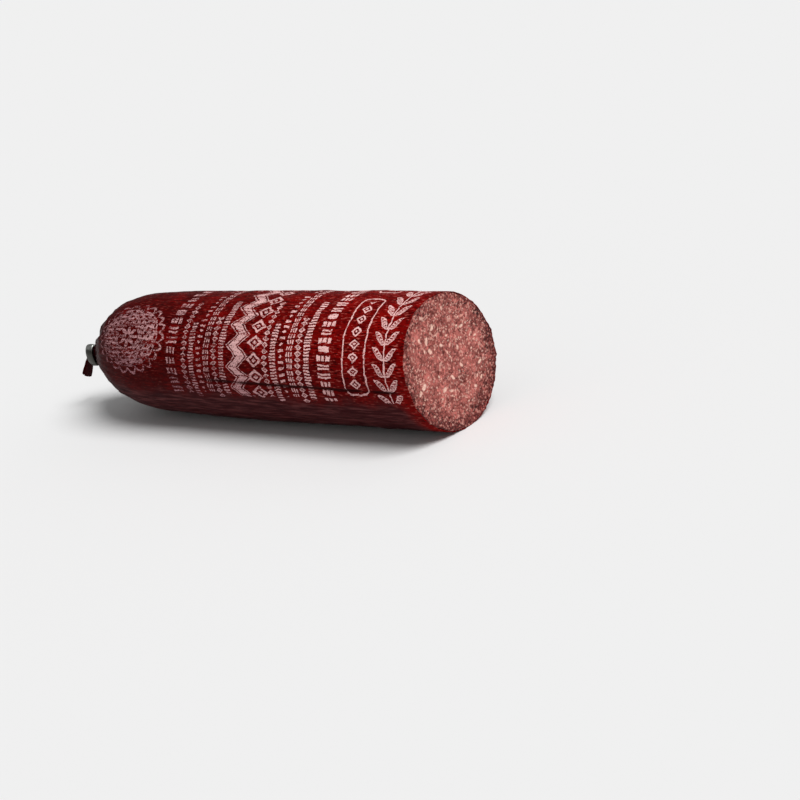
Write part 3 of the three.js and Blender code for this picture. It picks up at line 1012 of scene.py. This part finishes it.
def camera_axes(stage):
    """Right, down and forward of the camera, after its roll."""
    sin_a, cos_a = math.sin(stage.azimuth), math.cos(stage.azimuth)
    sin_e, cos_e = math.sin(stage.elevation), math.cos(stage.elevation)
    forward = Vector((-sin_a * cos_e, cos_a * cos_e, -sin_e))
    level = Vector((cos_a, sin_a, 0))
    drop = forward.cross(level)
    right = math.cos(stage.roll) * level - math.sin(stage.roll) * drop
    down = math.sin(stage.roll) * level + math.cos(stage.roll) * drop
    return right, down, forward


def make_camera(stage):
    right, down, forward = camera_axes(stage)
    aside = [(pixel - FRAME_PIXELS / 2) / FOCAL_PIXELS * stage.distance for pixel in CUT_PIXEL]
    cut_middle = Vector((CUT_X, 0, BODY_RADIUS))
    place = cut_middle - right * aside[0] - down * aside[1] - forward * stage.distance
    data = bpy.data.cameras.new("camera")
    data.sensor_width = 36
    data.lens = FOCAL_PIXELS / FRAME_PIXELS * data.sensor_width
    data.clip_end = 50
    camera = bpy.data.objects.new("camera", data)
    turn = Matrix((right, -down, -forward)).transposed()
    camera.matrix_world = Matrix.Translation(place) @ turn.to_4x4()
    bpy.context.scene.collection.objects.link(camera)
    bpy.context.scene.camera = camera


def make_key_light(stage):
    """One broad soft light from above, behind, and the side of the cut."""
    data = bpy.data.lights.new("key_light", "SUN")
    data.energy = stage.key_strength
    data.angle = KEY_SPREAD
    light = bpy.data.objects.new("key_light", data)
    light.matrix_world = KEY_FROM.to_track_quat("Z", "Y").to_matrix().to_4x4()
    bpy.context.scene.collection.objects.link(light)


def make_floor(stage):
    bm = bmesh.new()
    bmesh.ops.create_grid(bm, x_segments=2, y_segments=2, size=FLOOR_HALF_SIZE)
    mesh = bpy.data.meshes.new("floor")
    bm.to_mesh(mesh)
    bm.free()
    sockets = {"Base Color": linear_colour(stage.floor_colour), "Roughness": 0.95, "Specular IOR Level": 0.0}
    mesh.materials.append(new_material("matt_paper_backdrop", sockets)[0])
    floor = bpy.data.objects.new("floor", mesh)
    bpy.context.scene.collection.objects.link(floor)


def make_world(stage):
    world = bpy.data.worlds.new("studio")
    world.use_nodes = True
    background = world.node_tree.nodes["Background"]
    background.inputs["Color"].default_value = linear_colour("FFFFFF")
    background.inputs["Strength"].default_value = stage.sky_strength
    bpy.context.scene.world = world


# Operators, panel and registration

class SAUSAGE_OT_stage(bpy.types.Operator):
    """Set up the camera, the soft lights, the world and the plain floor"""

    bl_idname = "sausage.stage"
    bl_label = "Stage"

    def execute(self, context):
        stage = context.scene.sausage_stage
        make_camera(stage)
        make_floor(stage)
        make_world(stage)
        make_key_light(stage)
        context.scene.view_settings.view_transform = "Standard"
        return {"FINISHED"}


class SAUSAGE_OT_casing(bpy.types.Operator):
    """Build the printed film from the cut to the tip of the stub"""

    bl_idname = "sausage.casing"
    bl_label = "Casing"

    def execute(self, context):
        settings = context.scene.sausage_film
        bm = make_casing_mesh(settings)
        finish_piece(bm, "film_casing", film_material(settings), "casing")
        return {"FINISHED"}


class SAUSAGE_OT_meat(bpy.types.Operator):
    """Build the ground meat that fills the casing and shows at the cut"""

    bl_idname = "sausage.meat"
    bl_label = "Meat"

    def execute(self, context):
        settings = context.scene.sausage_meat
        bm = make_meat_mesh(settings, context.scene.sausage_film)
        finish_piece(bm, "meat_filling", meat_material(settings), "meat")
        return {"FINISHED"}


class SAUSAGE_OT_clip(bpy.types.Operator):
    """Build the wire clip round the neck"""

    bl_idname = "sausage.clip"
    bl_label = "Clip"

    def execute(self, context):
        settings = context.scene.sausage_clip
        bm = make_clip_mesh(settings)
        finish_piece(bm, "wire_clip", metal_material(settings), "clip")
        return {"FINISHED"}


OPERATORS = (SAUSAGE_OT_stage, SAUSAGE_OT_casing, SAUSAGE_OT_meat, SAUSAGE_OT_clip)
SETTINGS = {
    "sausage_film": FilmSettings,
    "sausage_meat": MeatSettings,
    "sausage_clip": ClipSettings,
    "sausage_stage": StageSettings,
}


class SAUSAGE_PT_panel(bpy.types.Panel):
    bl_idname = "SAUSAGE_PT_panel"
    bl_label = "Cured sausage"
    bl_space_type = "VIEW_3D"
    bl_region_type = "UI"
    bl_category = "Sausage"

    def draw(self, context):
        for operator in OPERATORS:
            self.layout.operator(operator.bl_idname)
        for name, group in SETTINGS.items():
            box = self.layout.box()
            for setting in group.__annotations__:
                box.prop(getattr(context.scene, name), setting)


def register():
    for group in (*SETTINGS.values(), *OPERATORS, SAUSAGE_PT_panel):
        bpy.utils.register_class(group)
    for name, group in SETTINGS.items():
        setattr(bpy.types.Scene, name, PointerProperty(type=group))


def unregister():
    for name in SETTINGS:
        delattr(bpy.types.Scene, name)
    for group in (SAUSAGE_PT_panel, *reversed(OPERATORS), *reversed(SETTINGS.values())):
        bpy.utils.unregister_class(group)


def main():
    register()
    bpy.ops.sausage.stage()
    bpy.ops.sausage.casing()
    bpy.ops.sausage.meat()
    bpy.ops.sausage.clip()
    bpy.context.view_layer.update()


if __name__ == "__main__":
    main()
